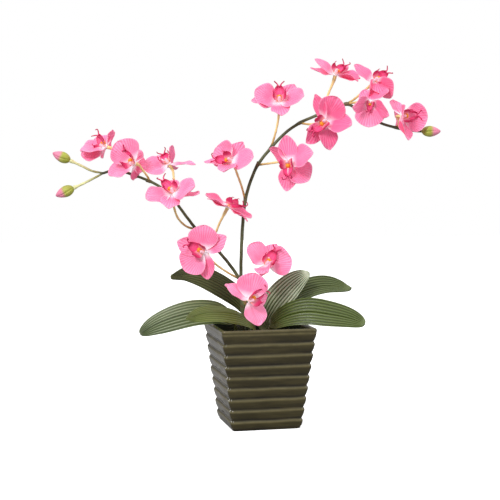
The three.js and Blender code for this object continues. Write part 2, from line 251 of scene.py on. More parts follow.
# %% Sheets, tubes and pieces
def sheet(grid, thickness, **marks):
    """A closed thin body around a surface grid (rows along, columns across)."""
    rows, columns = grid.shape[:2]
    normal = unit(np.cross(np.gradient(grid, axis=1), np.gradient(grid, axis=0)))
    offset = 0.5 * np.broadcast_to(np.asarray(thickness, float), (rows, columns))[..., None] * normal
    front = np.arange(rows * columns).reshape(rows, columns)
    back = front + rows * columns
    faces = []
    for layer, flip in ((front, 1), (back, -1)):
        quads = np.stack([layer[:-1, :-1], layer[:-1, 1:], layer[1:, 1:], layer[1:, :-1]], -1)
        faces.append(quads.reshape(-1, 4)[:, ::flip])
    for edge, flip in ((0, -1), (-1, 1)):
        row = np.stack([front[edge, :-1], front[edge, 1:], back[edge, 1:], back[edge, :-1]], -1)
        faces.append(row[:, ::flip])
        side = np.stack([front[:-1, edge], front[1:, edge], back[1:, edge], back[:-1, edge]], -1)
        faces.append(side[:, ::-flip])
    points = np.concatenate([(grid + offset).reshape(-1, 3), (grid - offset).reshape(-1, 3)])
    named = {key: np.tile(np.broadcast_to(value, (rows, columns)).ravel(), 2)
             for key, value in marks.items()}
    named["front"] = np.repeat([1.0, 0.0], rows * columns)
    return points, np.concatenate(faces), named


def closed_round(rim, foot_point, tip_point, share, marks):
    """Joins rings of points (rows along, columns round) into a body with a point at each end."""
    index = np.arange(rim.shape[0] * rim.shape[1]).reshape(rim.shape[:2])
    after = np.roll(index, -1, axis=1)
    quads = np.stack([index[:-1], after[:-1], after[1:], index[1:]], -1).reshape(-1, 4)
    foot, tip = index.size, index.size + 1
    ends = [(foot, b, a, a) for a, b in zip(index[0], after[0])]
    ends += [(tip, a, b, b) for a, b in zip(index[-1], after[-1])]
    cloud = np.concatenate([rim.reshape(-1, 3), [foot_point, tip_point]])
    named = {key: value(share) if callable(value) else np.zeros(len(cloud)) + value
             for key, value in marks.items()}
    named["front"] = np.ones(len(cloud))
    return cloud, np.concatenate([quads, np.array(ends)]), named


def tube(points, radius, sides, steps, shape=None, **marks):
    """A round stalk along a smooth line; radius and marks are functions of the share along it."""
    t = np.linspace(0, 1, steps + 1)
    place, way = along_line(points, t)
    side = np.cross(way[0], [0.3, 0.2, 1.0])
    sides_at = []
    for direction in way:
        side = unit(side - direction * side.dot(direction))
        sides_at.append(side)
    sides_at = np.array(sides_at)
    across = np.cross(way, sides_at)
    angle = np.linspace(0, 2 * np.pi, sides, endpoint=False)
    swell = shape(t[:, None], angle[None]) if shape else np.ones((steps + 1, sides))
    r = (radius(t)[:, None] * swell)[..., None]
    ring = np.cos(angle)[:, None] * sides_at[:, None] + np.sin(angle)[:, None] * across[:, None]
    share = np.concatenate([np.repeat(t, sides), [0, 1]])
    return closed_round(place[:, None] + r * ring, place[0], place[-1], share, marks)


def turned(profile, sides, shape=None, **marks):
    """A shape turned about its own Z; profile rows are (radius, height)."""
    profile = np.array(profile, float)
    angle = np.linspace(0, 2 * np.pi, sides, endpoint=False)
    share = np.linspace(0, 1, len(profile))
    swell = shape(share[1:-1, None], angle[None]) if shape else 1.0
    radius = profile[1:-1, :1] * swell * np.ones(sides)
    height = np.repeat(profile[1:-1, 1:], sides, 1)
    rim = np.stack([radius * np.cos(angle), radius * np.sin(angle), height], -1)
    along = np.concatenate([np.repeat(share[1:-1], sides), [0, 1]])
    return closed_round(rim, [0, 0, profile[0, 1]], [0, 0, profile[-1, 1]], along, marks)


def moved(body, matrix, scale=1.0, shift=(0, 0, 0)):
    """The same body turned by a matrix, scaled and shifted."""
    points, faces, marks = body
    return (points * scale) @ np.array(matrix).T + np.array(shift), faces, marks


def make_piece(name, bodies, material, node=None, in_plant=True):
    """Joins bodies into one object, puts it in the shared frame and registers it."""
    counts = np.cumsum([0] + [len(points) for points, _, _ in bodies])
    points = np.concatenate([points for points, _, _ in bodies])
    points = (planted(points) if in_plant else points) * MM
    faces = []
    for (_, corners, _), start in zip(bodies, counts):
        faces += [tuple(dict.fromkeys(int(c) + int(start) for c in face)) for face in corners]
    mesh = bpy.data.meshes.new(name)
    mesh.from_pydata(points.tolist(), [], faces)
    keys = sorted({key for _, _, marks in bodies for key in marks})
    for key in keys:
        values = np.concatenate([
            np.asarray(marks.get(key, np.zeros(len(cloud))), np.float32) for cloud, _, marks in bodies])
        mesh.attributes.new(key, "FLOAT", "POINT").data.foreach_set("value", values)
    mesh.shade_smooth()
    mesh.materials.append(material)
    piece = bpy.data.objects.new(name, mesh)
    scene.collection.objects.link(piece)
    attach(piece, "root")
    if node:
        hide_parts(node)
    return piece


print("sheet of 2 by 3 points:", len(sheet(np.zeros((2, 3, 3)), 1.0)[1]), "faces")

# %% [markdown]
# ## Node groups shared by the finishes
#
# Four effects turn up in more than one finish. *Mottle* is soft uneven colour. *Combed lines* are
# the pressed veins of leaves and petals, which run along a sheet and fan out with it. *Edge band*
# finds the margin of a sheet. *Grain* is the finest surface texture, for bump. Each is a node
# group with its own knobs, so every finish uses the same tool with its own values.

# %% Node groups
def new_group(name, inputs, outputs):
    """A shader node group with float or vector sockets; returns the tree and its two ends."""
    tree = bpy.data.node_groups.new(name, "ShaderNodeTree")
    for label, value in inputs.items():
        kind = "NodeSocketVector" if value is None else "NodeSocketFloat"
        socket = tree.interface.new_socket(label, in_out="INPUT", socket_type=kind)
        if value is not None:
            socket.default_value = value
    for label in outputs:
        tree.interface.new_socket(label, in_out="OUTPUT", socket_type="NodeSocketFloat")
    return tree, tree.nodes.new("NodeGroupInput").outputs, tree.nodes.new("NodeGroupOutput").inputs


def do_math(tree, operation, a, b=None, c=None, clamp=False):
    """One math node; the values may be numbers or outputs."""
    given = {i: v for i, v in enumerate((a, b, c)) if v is not None}
    settings = {"operation": operation, "use_clamp": clamp}
    return add_node(tree, "ShaderNodeMath", settings, given).outputs[0]


mottle_group, knob, result = new_group(
    "mottle", {"Place": None, "Scale": 40.0, "Detail": 3.0, "From": 0.35, "To": 0.65}, ["Value"])
cloud = add_node(mottle_group, "ShaderNodeTexNoise", None,
                 {"Vector": knob["Place"], "Scale": knob["Scale"], "Detail": knob["Detail"]})
spread = add_node(mottle_group, "ShaderNodeMapRange", None,
                  {"Value": cloud.outputs[0], "From Min": knob["From"], "From Max": knob["To"]})
mottle_group.links.new(spread.outputs[0], result["Value"])

lines_group, knob, result = new_group(
    "combed_lines", {"Across": 0.5, "Waver": 0.0, "Count": 14.0, "Sharpness": 3.0}, ["Line", "Wave"])
shifted = do_math(lines_group, "ADD", knob["Across"], knob["Waver"])
phase = do_math(lines_group, "MULTIPLY", shifted, knob["Count"])
wave = do_math(lines_group, "COSINE", do_math(lines_group, "MULTIPLY", phase, 2 * math.pi))
share = do_math(lines_group, "MULTIPLY_ADD", wave, 0.5, 0.5)
lines_group.links.new(do_math(lines_group, "POWER", share, knob["Sharpness"]), result["Line"])
lines_group.links.new(share, result["Wave"])

edge_group, knob, result = new_group(
    "edge_band", {"Across": 0.5, "Along": 0.5, "Start": 0.7}, ["Mask"])
centred = do_math(edge_group, "MULTIPLY_ADD", knob["Across"], 2.0, -1.0)
sideways = do_math(edge_group, "ABSOLUTE", centred)
outward = do_math(edge_group, "MAXIMUM", sideways, knob["Along"])
band = add_node(edge_group, "ShaderNodeMapRange", {"interpolation_type": "SMOOTHSTEP"},
                {"Value": outward, "From Min": knob["Start"], "From Max": 1.0})
edge_group.links.new(band.outputs[0], result["Mask"])

grain_group, knob, result = new_group(
    "grain", {"Place": None, "Scale": 900.0, "Rough": 0.6}, ["Height"])
specks = add_node(grain_group, "ShaderNodeTexNoise", None,
                  {"Vector": knob["Place"], "Scale": knob["Scale"], "Detail": 4.0,
                   "Roughness": knob["Rough"]})
grain_group.links.new(specks.outputs[0], result["Height"])
print("node groups:", [tree.name for tree in bpy.data.node_groups])

# %% [markdown]
# ## A small palette tool for finishes
#
# Every finish below is built the same way: a base colour, a few masks that pull it towards other
# colours, a bump, and one Principled shader. A small class keeps that to one line a layer.

# %% Finish builder
def ink(red, green, blue):
    """A display colour (0 to 255) as the light values that shaders use."""
    def light(value):
        value /= 255
        return value / 12.92 if value <= 0.04045 else ((value + 0.055) / 1.055) ** 2.4
    return light(red), light(green), light(blue), 1.0


class Finish:
    """One material under construction; layer() puts a colour over the ones before it."""

    def __init__(self, name, base):
        self.material = bpy.data.materials.new(name)
        self.material.use_nodes = True
        self.tree = self.material.node_tree
        self.shader = self.tree.nodes["Principled BSDF"]
        self.place = add_node(self.tree, "ShaderNodeTexCoord").outputs["Object"]
        self.colour = ink(*base)

    def mark(self, name):
        return add_node(self.tree, "ShaderNodeAttribute", {"attribute_name": name}).outputs["Fac"]

    def group(self, tree, output, **values):
        node = add_node(self.tree, "ShaderNodeGroup", {"node_tree": tree})
        for key, value in values.items():
            if isinstance(value, bpy.types.NodeSocket):
                self.tree.links.new(value, node.inputs[key])
            else:
                node.inputs[key].default_value = value
        return node.outputs[output]

    def mottle(self, scale, low=0.35, high=0.65):
        return self.group(mottle_group, "Value", Place=self.place, Scale=scale, From=low, To=high)

    def grain(self, scale=900.0, rough=0.6):
        return self.group(grain_group, "Height", Place=self.place, Scale=scale, Rough=rough)

    def math(self, operation, a, b=None, c=None, clamp=False):
        return do_math(self.tree, operation, a, b, c, clamp)

    def ramp(self, value, low, high, out_low=0.0, out_high=1.0):
        return add_node(self.tree, "ShaderNodeMapRange", {"interpolation_type": "SMOOTHSTEP"},
                        {"Value": value, "From Min": low, "From Max": high,
                         "To Min": out_low, "To Max": out_high}).outputs[0]

    def layer(self, colour, mask, strength=1.0):
        amount = mask if strength == 1.0 else self.math("MULTIPLY", mask, strength, clamp=True)
        mix = add_node(self.tree, "ShaderNodeMix", {"data_type": "RGBA", "clamp_factor": True},
                       {0: amount, 6: self.colour, 7: ink(*colour)})
        self.colour = mix.outputs[2]

    def bump(self, height, distance, strength=1.0, over=None):
        given = {"Height": height, "Distance": distance, "Strength": strength}
        if over is not None:
            given["Normal"] = over
        return add_node(self.tree, "ShaderNodeBump", None, given).outputs[0]

    def done(self, normal=None, **sockets):
        if isinstance(self.colour, bpy.types.NodeSocket):
            self.tree.links.new(self.colour, self.shader.inputs["Base Color"])
        else:
            self.shader.inputs["Base Color"].default_value = self.colour
        if normal is not None:
            self.tree.links.new(normal, self.shader.inputs["Normal"])
        for key, value in sockets.items():
            socket = self.shader.inputs[key.replace("_", " ")]
            if isinstance(value, bpy.types.NodeSocket):
                self.tree.links.new(value, socket)
            else:
                socket.default_value = value
        return self.material


print("black and white as light:", ink(0, 0, 0)[0], ink(255, 255, 255)[0])

# %% [markdown]
# ## The pot's glaze
#
# The pot is stoneware under one thick, dark olive glaze. Where the glaze runs off a sharp rib it
# thins and breaks to tan, and that tan line is also a painted highlight of light from above. The
# grooves are painted darker as shade. The pot's mesh marks how near each point is to a rib's crest
# and to a groove, so both follow the ribs. Long runs lie along the ribs, from a mottle whose
# upright axis is squeezed; their lighter colour is partly the runs and partly painted streaks of
# reflected light. The inside wall is painted dark teal-green as reflection and shade. The glaze is
# glassy, so it is smooth, with only a slow waviness that bends its reflections.

# %% Glaze
glaze = Finish("olive_glaze", (52, 46, 24))
glaze.layer((64, 58, 32), glaze.mottle(14, 0.35, 0.65), 0.5)
# Painted shade: the glaze is painted darker in the grooves.
glaze.layer((26, 23, 15), glaze.ramp(glaze.mark("groove"), 0.45, 1.0), 0.8)
# Tan on the crests: partly the glaze breaking thin over each rib, partly a painted highlight where the
# crests catch light from above.
crest_break_and_highlight = glaze.math("MULTIPLY_ADD", glaze.mottle(90, 0.2, 0.8), 0.5, 0.5)
glaze.layer((118, 110, 76), glaze.math("MULTIPLY", glaze.mark("crest"), crest_break_and_highlight), 0.7)
# Painted reflection and shade: the inside wall is painted dark teal-green.
glaze.layer((22, 38, 34), glaze.mark("inside"), 0.8)
SQUEEZE = (1, 1, 7)
drawn_out = add_node(glaze.tree, "ShaderNodeVectorMath", {"operation": "MULTIPLY"},
                     {0: glaze.place, 1: SQUEEZE}).outputs[0]
glaze_runs_and_streak_shine = glaze.group(mottle_group, "Value", Place=drawn_out, Scale=26.0, From=0.4, To=0.7)
# Lighter streaks along the ribs: partly glaze runs, partly painted streaks of reflected light.
glaze.layer((98, 88, 54), glaze_runs_and_streak_shine, 0.3)
glaze_bump = glaze.bump(glaze.grain(70.0, 0.35), 0.0006, 0.4)
glaze_bump = glaze.bump(glaze_runs_and_streak_shine, 0.0005, 0.5, over=glaze_bump)
glaze.done(glaze_bump, Roughness=0.1, Specular_IOR_Level=0.4)
print("glaze:", glaze.material.name)

# %% [markdown]
# ## The pot
#
# The pot was cast in a square mould that narrows towards the foot. Eight soft ribs run round it,
# each with a long belly below and a short ledge above. The shape is a stack of rounded squares:
# one function gives the inset at any height, and the rest is a loop round and up, over the rim
# and down the inside.

# %% Pot
POT_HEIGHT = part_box("pot")[1][2] / MM
POT_TOP_HALF = 66.0
POT_BASE_HALF = 49.0
POT_WALL = 6.0
POT_FLOOR = 8.0
RIM_CREST = 134.7
RIB_PITCH = 15.1
FIRST_CREST = 10.9
LEDGE = 4.5
GROOVE_DEPTH = 2.3
POT_CORNER = 5.5
FOOT_BAND = 4.0
CORNER_STEPS = 8
SIDE_STEPS = 22
OUTER_ROWS = 150
LIP_ROWS = 12
INNER_ROWS = 30


def pot_half(z):
    """Half the pot's width over the crests at a height."""
    return POT_BASE_HALF + (POT_TOP_HALF - POT_BASE_HALF) * z / POT_HEIGHT


def rib_inset(z):
    """0 on a crest and 1 in a groove, as a share of the groove's depth."""
    above_groove = (z - FIRST_CREST - LEDGE) / RIB_PITCH % 1.0
    belly = 1 - LEDGE / RIB_PITCH
    rising = np.clip(above_groove / belly, 0, 1)
    falling = np.clip((above_groove - belly) / (1 - belly), 0, 1)
    in_belly = 1 - np.sin(0.5 * np.pi * rising**0.8)
    return np.where(above_groove < belly, in_belly, smoothstep(falling, 0.0, 1.0))


def rounded_square(half, height, radius):
    """One ring of the pot: points round a square with rounded corners."""
    def corner_middle(turn):
        x, y = math.cos(turn), math.sin(turn)
        return (half - radius) * np.array([x - y, x + y])

    ring = []
    for quarter in range(4):
        start = 0.5 * math.pi * quarter
        middle = corner_middle(start)
        for step in range(CORNER_STEPS + 1):
            angle = start + 0.5 * math.pi * step / CORNER_STEPS
            ring.append(tuple(middle + radius * np.array([math.cos(angle), math.sin(angle)])))
        after = start + 0.5 * math.pi
        ahead = corner_middle(after)
        rim = np.array([radius * math.cos(after), radius * math.sin(after)])
        for step in range(1, SIDE_STEPS):
            ring.append(tuple(middle + rim + (ahead - middle) * step / SIDE_STEPS))
    return [(x, y, height) for x, y in ring]


rows = [(pot_half(0) - GROOVE_DEPTH - 1.0, 0.0, 0.0, 0.5, 0.0)]
for z in np.linspace(0.8, RIM_CREST, OUTER_ROWS):
    inset = float(rib_inset(z)) if z > FOOT_BAND else 0.75 + 0.25 * (FOOT_BAND - z) / FOOT_BAND
    if z > RIM_CREST - LEDGE:
        inset = min(inset, 0.4 * (RIM_CREST - z) / LEDGE)
    from_crest = (z - FIRST_CREST - 0.8 + RIB_PITCH / 2) % RIB_PITCH - RIB_PITCH / 2
    on_crest = math.exp(-((from_crest / 1.5) ** 2))
    rows.append((pot_half(z) - GROOVE_DEPTH * inset, z, on_crest, inset, 0.0))
outside_rim = rows[-1][0]
mouth = pot_half(POT_HEIGHT) - POT_WALL
for turn in np.linspace(0, np.pi, LIP_ROWS)[1:]:
    reach = 0.5 * (outside_rim + mouth) + 0.5 * (outside_rim - mouth) * math.cos(turn)
    height = RIM_CREST + (POT_HEIGHT - RIM_CREST) * math.sin(turn) ** 0.7
    rows.append((reach, height, 0.8, 0.0, 0.3 * turn / np.pi))
for z in np.linspace(RIM_CREST - 3, POT_FLOOR, INNER_ROWS):
    rows.append((pot_half(z) - POT_WALL, z, 0.0, 0.0, 1.0))

rings, crest, groove, inside = [], [], [], []
for half, z, on_crest, in_groove, within in rows:
    radius = max(POT_CORNER - 2.0 * in_groove, 2.0) if within < 0.5 else POT_CORNER - 2.5
    ring = rounded_square(half, z, radius)
    rings.append(ring)
    crest += [on_crest] * len(ring)
    groove += [in_groove] * len(ring)
    inside += [within] * len(ring)
rings = np.array(rings)
hand_made = np.array([noise.noise(Vector(point) * 0.035) for point in rings.reshape(-1, 3)])
hand_made = hand_made.reshape(rings.shape[:2] + (1,)) * np.array([1.0, 1.0, 0.9]) * 0.45
level = rings[..., 2:]
fade = smoothstep(level, 2.0, 12.0) * (1 - smoothstep(level, POT_HEIGHT - 4, POT_HEIGHT))
rings = rings + hand_made * fade
pot_marks = {"crest": crest + [0, 0], "groove": groove + [0.5, 0], "inside": inside + [0, 1]}
pot_body = closed_round(rings, [0, 0, 0], [0, 0, POT_FLOOR], None, pot_marks)
make_piece("ceramic_pot", [pot_body], glaze.material, "pot", in_plant=False)
print("pot rings:", len(rows), "points a ring:", rings.shape[1])

# %% [markdown]
# ## Foam and moss
#
# The green foam block that holds every wire is out of sight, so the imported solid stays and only
# gets its crumbly finish. Over it lies dried moss: a lumpy mat with hundreds of curled threads,
# and a few yellow-green sprigs that catch the light just under the rim. The mat is a closed slab
# whose top is pushed up and down by noise. The threads are thin bent tubes with fixed seeds.

# %% Foam block
foam = Finish("floral_foam", (52, 70, 46))
foam.layer((34, 48, 32), foam.mottle(300, 0.35, 0.6), 0.7)
foam.done(foam.bump(foam.grain(1500.0, 0.7), 0.0006, 0.8), Roughness=0.95, Specular_IOR_Level=0.2)
foam_block = nodes["foam_block"]
foam_block.data.materials.clear()
foam_block.data.materials.append(foam.material)

moss = Finish("dried_moss", (42, 40, 24))
moss.layer((74, 70, 38), moss.mottle(180, 0.4, 0.7), 0.7)
moss.layer((26, 22, 14), moss.mottle(60, 0.45, 0.6), 0.7)
moss.done(moss.bump(moss.grain(1400.0, 0.7), 0.0008, 1.0), Roughness=0.95, Specular_IOR_Level=0.15)

sprig = Finish("pale_sprigs", (128, 132, 58))
sprig.layer((176, 172, 92), sprig.mottle(240, 0.4, 0.6), 0.6)
sprig.done(sprig.bump(sprig.grain(), 0.0002, 0.5), Roughness=0.7)

# %% Moss mat and threads
moss_low, moss_high = (np.array(corner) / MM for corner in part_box("moss_cover"))
MAT_STEPS = 90
THREADS = 300
SPRIGS = 46
moss_rng = np.random.default_rng(11)
top_half = moss_high[0] - 0.4
axis = np.linspace(-1, 1, MAT_STEPS)
mat_x, mat_y = np.meshgrid(axis * top_half, axis * top_half)
lump = np.array([
    noise.fractal(Vector((x, y, 3.0)) * 0.07, 0.8, 2.1, 4)
    for x, y in zip(mat_x.ravel(), mat_y.ravel())])
lump = lump.reshape(mat_x.shape)
rim_drop = smoothstep(np.maximum(np.abs(mat_x), np.abs(mat_y)) / top_half, 0.86, 1.0)
mat_top = moss_high[2] - 3.0 + 3.2 * lump - 2.0 * rim_drop
mat_low = np.full_like(mat_top, moss_low[2])
middle = np.stack([mat_x, mat_y, 0.5 * (mat_top + mat_low)], -1)
mat_points, mat_faces, mat_marks = sheet(middle, 1.0)
mat_points[:mat_top.size, 2] = mat_top.ravel()
mat_points[:mat_top.size, :2] = middle[..., :2].reshape(-1, 2)
mat_points[mat_top.size:, 2] = moss_low[2]
mat_points[mat_top.size:, :2] = 0.985 * middle[..., :2].reshape(-1, 2)


def curled_thread(rng, thickness, length, lift):
    """One dried thread: it leaves the mat, arches and dips back."""
    x, y = rng.uniform(-0.86, 0.86, 2) * top_half
    turn = rng.uniform(0, 2 * np.pi)
    bend = rng.uniform(-1.2, 1.2)
    t = np.linspace(0, 1, 5)
    path_x = np.clip(x + length * t * np.cos(turn + bend * t), -top_half + 1.5, top_half - 1.5)
    path_y = np.clip(y + length * t * np.sin(turn + bend * t), -top_half + 1.5, top_half - 1.5)
    path_z = moss_high[2] - 3.5 + lift * np.sin(np.pi * t)
    return tube(np.stack([path_x, path_y, path_z], -1), lambda s: thickness * (1.1 - 0.5 * s), 4, 6)


threads = [
    curled_thread(moss_rng, moss_rng.uniform(0.3, 0.6), moss_rng.uniform(10, 24), moss_rng.uniform(2, 7))
    for _ in range(THREADS)]
mat = (mat_points, mat_faces, mat_marks)
make_piece("moss_mat", [mat] + threads, moss.material, "moss_cover", in_plant=False)
sprigs = [
    curled_thread(moss_rng, moss_rng.uniform(0.4, 0.8), moss_rng.uniform(6, 13), moss_rng.uniform(4, 9))
    for _ in range(SPRIGS)]
make_piece("moss_sprigs", sprigs, sprig.material, in_plant=False)
print("moss threads:", len(threads), "sprigs:", len(sprigs))

# %% [markdown]
# ## Leaf finish
#
# The leaves are moulded from soft plastic-coated cloth: deep green, satin rather than shiny, with
# pressed parallel veins. The raised lines get a painted highlight, the valleys between them and the
# crease down the middle get painted shade, and the dye is uneven along the blade. Some leaves are
# browner towards the stalk, and on two of them a stronger pale painted highlight lies on the raised
# lines towards the tip. Each leaf gets its own values of the same finish: four colours, how glossy
# it is, and how strong that painted tip highlight is.

# %% Leaf finish
LEAF_VEINS = 9.0


def leaf_finish(name, green, deep, bright, stalk, gloss, painted_shine):
    leaf = Finish(name, green)
    across, along = leaf.mark("across"), leaf.mark("along")
    leaf.layer(deep, leaf.mottle(22, 0.35, 0.65), 0.45)
    line = leaf.group(lines_group, "Line", Across=across, Count=LEAF_VEINS, Sharpness=2.0)
    # Painted highlight: the raised veins are painted lighter.
    leaf.layer(bright, line, 0.5)
    # Painted shade: the valleys between the veins are painted darker.
    valley = leaf.math("SUBTRACT", 1.0, leaf.group(lines_group, "Wave", Across=across, Count=LEAF_VEINS))
    leaf.layer(deep, leaf.ramp(valley, 0.5, 1.0), 0.65)
    # Painted shade: the crease down the middle of the blade is painted darker.
    middle = leaf.ramp(leaf.math("ABSOLUTE", leaf.math("SUBTRACT", across, 0.5)), 0.0, 0.03, 1.0, 0.0)
    leaf.layer(deep, middle, 0.6)
    leaf.layer(bright, leaf.group(edge_group, "Mask", Across=across, Along=0.0, Start=0.94), 0.5)
    # Painted highlight: the raised lines are painted pale towards the tip, strongest on two leaves.
    painted_tip_shine = leaf.math("MULTIPLY", line, leaf.ramp(along, 0.4, 0.75))
    leaf.layer((214, 222, 200), painted_tip_shine, painted_shine)
    leaf.layer(stalk, leaf.ramp(along, 0.42, 0.24), 0.85)
    under = leaf.math("SUBTRACT", 1.0, leaf.mark("front"))
    leaf.layer(deep, under, 0.35)
    fine = leaf.group(lines_group, "Wave", Across=across, Count=LEAF_VEINS * 4)
    normal = leaf.bump(fine, 0.00012, 0.5)
    normal = leaf.bump(leaf.grain(700.0), 0.00015, 0.4, over=normal)
    rough = leaf.ramp(leaf.mottle(60), 0.0, 1.0, 0.28, 0.4)
    return leaf.done(normal, Roughness=rough, Specular_IOR_Level=gloss)


print("veins a leaf:", LEAF_VEINS)

# %% [markdown]
# ## Leaves
#
# A wire runs under the middle of each leaf and carries its long curve. Around that line the blade
# is a sheet: its width swells and closes again, the two halves fold up along the middle, ridges
# run the whole length, and the edges wave a little. Near the moss the sheet rolls into a round
# stalk, so width and thickness blend from one to the other. For each leaf the list gives half the
# blade's width, how far its halves fold up, the direction across the blade, how blunt it is (a
# low number closes late, with a round tip), the height of its ridges and its midrib's points.

# %% Leaves
STEM_FOOT = 86
STALK_RADIUS = 2.8
STALK_THICKNESS = 5.2
BLADE_THICKNESS = 0.9
BARE_STALK = 0.27
LEAVES = [
    dict(name="leaf_far_left", half=19.5, fold=0.16, across=(0.05, -0.5, -0.87), seed=1, blunt=0.42,
         gloss=0.8, painted_shine=0.5, ridge=0.42, green=(108, 126, 62), deep=(54, 68, 30),
         bright=(170, 186, 128), stalk=(96, 94, 48),
         midrib=[(-30, 12, STEM_FOOT), (-30, 12, 118), (-36, 9, 140), (-54, 3, 153.5), (-82, -6, 156),
                 (-112, -14, 151), (-142, -21, 140), (-162, -27, 128)]),
    dict(name="leaf_front_left", half=18, fold=0.14, across=(0.4, -0.72, -0.57), seed=2, blunt=0.55,
         gloss=0.35, painted_shine=0.05, ridge=0.26, green=(106, 119, 50), deep=(74, 84, 36),
         bright=(148, 160, 80), stalk=(112, 88, 54),
         midrib=[(-4, -17, STEM_FOOT), (-4, -17, 118), (-9, -22, 138), (-24, -31, 152), (-47, -44, 159),
                 (-72, -57, 160), (-97, -70, 154)]),
    dict(name="leaf_upper_left", half=21, fold=0.12, across=(0.42, -0.62, 0.66), seed=3, blunt=0.42,
         gloss=0.35, painted_shine=0.05, ridge=0.22, green=(100, 102, 52), deep=(68, 70, 36),
         bright=(132, 138, 84), stalk=(86, 76, 44),
         midrib=[(-6, 24, STEM_FOOT), (-6, 24, 118), (-10, 25, 144), (-24, 28, 168), (-46, 31, 186),
                 (-76, 34, 200), (-102, 37, 204), (-124, 40, 199)]),
    dict(name="leaf_upright", half=20, fold=0.12, across=(0.72, -0.4, -0.57), seed=4, blunt=0.55,
         gloss=0.7, painted_shine=0.5, ridge=0.6, green=(100, 114, 60), deep=(42, 52, 24),
         bright=(178, 192, 150), stalk=(92, 90, 48),
         midrib=[(7, 12, STEM_FOOT), (7, 12, 118), (9, 11, 138), (18, 11, 159), (34, 12, 180),
                 (52, 14, 197), (70, 16, 208)]),
    dict(name="leaf_back_right", half=18.5, fold=0.18, across=(0.2, -0.7, -0.68), seed=5, blunt=0.55,
         gloss=0.35, painted_shine=0.05, ridge=0.34, green=(66, 79, 31), deep=(44, 55, 22),
         bright=(102, 116, 62), stalk=(80, 76, 40),
         midrib=[(12, 28, STEM_FOOT), (12, 28, 118), (18, 29, 140), (36, 33, 162), (62, 38, 179),
                 (94, 43, 187), (131, 49, 182)]),
    dict(name="leaf_right", half=19, fold=0.16, across=(0, -0.42, -0.91), seed=6, blunt=0.4,
         gloss=0.3, painted_shine=0.05, ridge=0.24, green=(70, 85, 29), deep=(50, 60, 20),
         bright=(102, 118, 52), stalk=(88, 82, 42),
         midrib=[(10, -5, STEM_FOOT), (10, -5, 118), (17, -8, 136), (36, -13, 150), (64, -20, 157.5),
                 (94, -26, 155), (122, -31, 150), (143, -36, 143)]),
]
LEAF_COLUMNS = 91
LEAF_ROWS = 70


def leaf_body(leaf):
    """The blade and stalk of one leaf as a single sheet round its midrib."""
    rng = np.random.default_rng(leaf["seed"])
    v = np.linspace(0, 1, LEAF_ROWS)
    t = 1 - (1 - v) ** 1.35
    place, way = along_line(leaf["midrib"], t)
    side = unit(np.array(leaf["across"], float))
    wide = unit(side - way * (way @ side)[:, None])
    up = np.cross(wide, way)
    blade = np.clip((t - BARE_STALK) / (1 - BARE_STALK), 0, 1)
    swell = np.sin(np.pi * np.clip(blade, 0, 1 - 1e-9)) ** leaf["blunt"]
    half = STALK_RADIUS * (1 - blade**6) + 0.3 * blade**6 + (leaf["half"] - STALK_RADIUS) * swell
    spread = smoothstep(half, STALK_RADIUS, 3.5 * STALK_RADIUS)[:, None] * np.ones(LEAF_COLUMNS)
    u = np.linspace(-1, 1, LEAF_COLUMNS)[None]
    drift = rng.uniform(0, 2 * np.pi, 4)
    wave = np.where(u > 0, np.sin(2 * np.pi * 2.1 * t + drift[0])[:, None],
                    np.sin(2 * np.pi * 1.7 * t + drift[1])[:, None])
    lift = leaf["fold"] * (np.sqrt(u**2 + 0.004) - 0.06) * half[:, None]
    lift = lift + leaf["ridge"] * np.cos(2 * np.pi * LEAF_VEINS * (u + 1) / 2) * (1 - 0.5 * u**4)
    lift = lift - 0.7 * np.exp(-(u / 0.045) ** 2) + 1.3 * u**4 * wave
    lift = lift * spread
    stalk = STALK_THICKNESS * np.sqrt(1.001 - u**2)
    thickness = (1 - spread) * stalk + spread * (BLADE_THICKNESS * np.sqrt(1.03 - u**2) + 0.15)
    grid = place[:, None] + (u * half[:, None])[..., None] * wide[:, None]
    grid = grid + lift[..., None] * up[:, None]
    return sheet(grid, thickness, across=0.5 * (u + 1), along=t[:, None])


for leaf in LEAVES:
    finish = leaf_finish(leaf["name"] + "_finish", *(
        leaf[key] for key in ("green", "deep", "bright", "stalk", "gloss", "painted_shine")))
    piece = make_piece("silk_" + leaf["name"], [leaf_body(leaf)], finish, leaf["name"])
print("leaves:", len(LEAVES), "faces each:", len(piece.data.polygons))

# %% [markdown]
# ## Stems and flower stalks
#
# Each spike is a stiff wire wound with floral tape, dark olive and brown. Where a flower stalk
# leaves it, the tape thickens and a small pointed bract hugs the joint. The stalks start just as
# dark, turn tan where the tape thins, and end pale yellow and flared under the bloom.

# %% Stem finish
stem = Finish("taped_stem", (82, 90, 58))
stem.layer((122, 132, 96), stem.mottle(70, 0.35, 0.65), 0.6)
stem.layer((56, 46, 32), stem.mottle(38, 0.5, 0.62), 0.7)
bloomward = stem.mark("bloomward")
stem.layer((84, 76, 44), stem.ramp(bloomward, 0.001, 0.03), 0.8)
stem.layer((214, 180, 106), stem.ramp(bloomward, 0.04, 0.14), 0.9)
stem.layer((252, 228, 158), stem.ramp(bloomward, 0.12, 0.45), 0.92)
budward = stem.mark("budward")
stem.layer((170, 166, 108), stem.ramp(budward, 0.02, 0.2), 0.9)
stem.layer((230, 228, 168), stem.ramp(budward, 0.2, 0.7), 0.95)
stem.layer((104, 84, 54), stem.mark("bract"), 0.8)
stem.done(stem.bump(stem.grain(420.0, 0.65), 0.0003, 0.6), Roughness=0.55, Specular_IOR_Level=0.4)
print("stem finish:", stem.material.name)

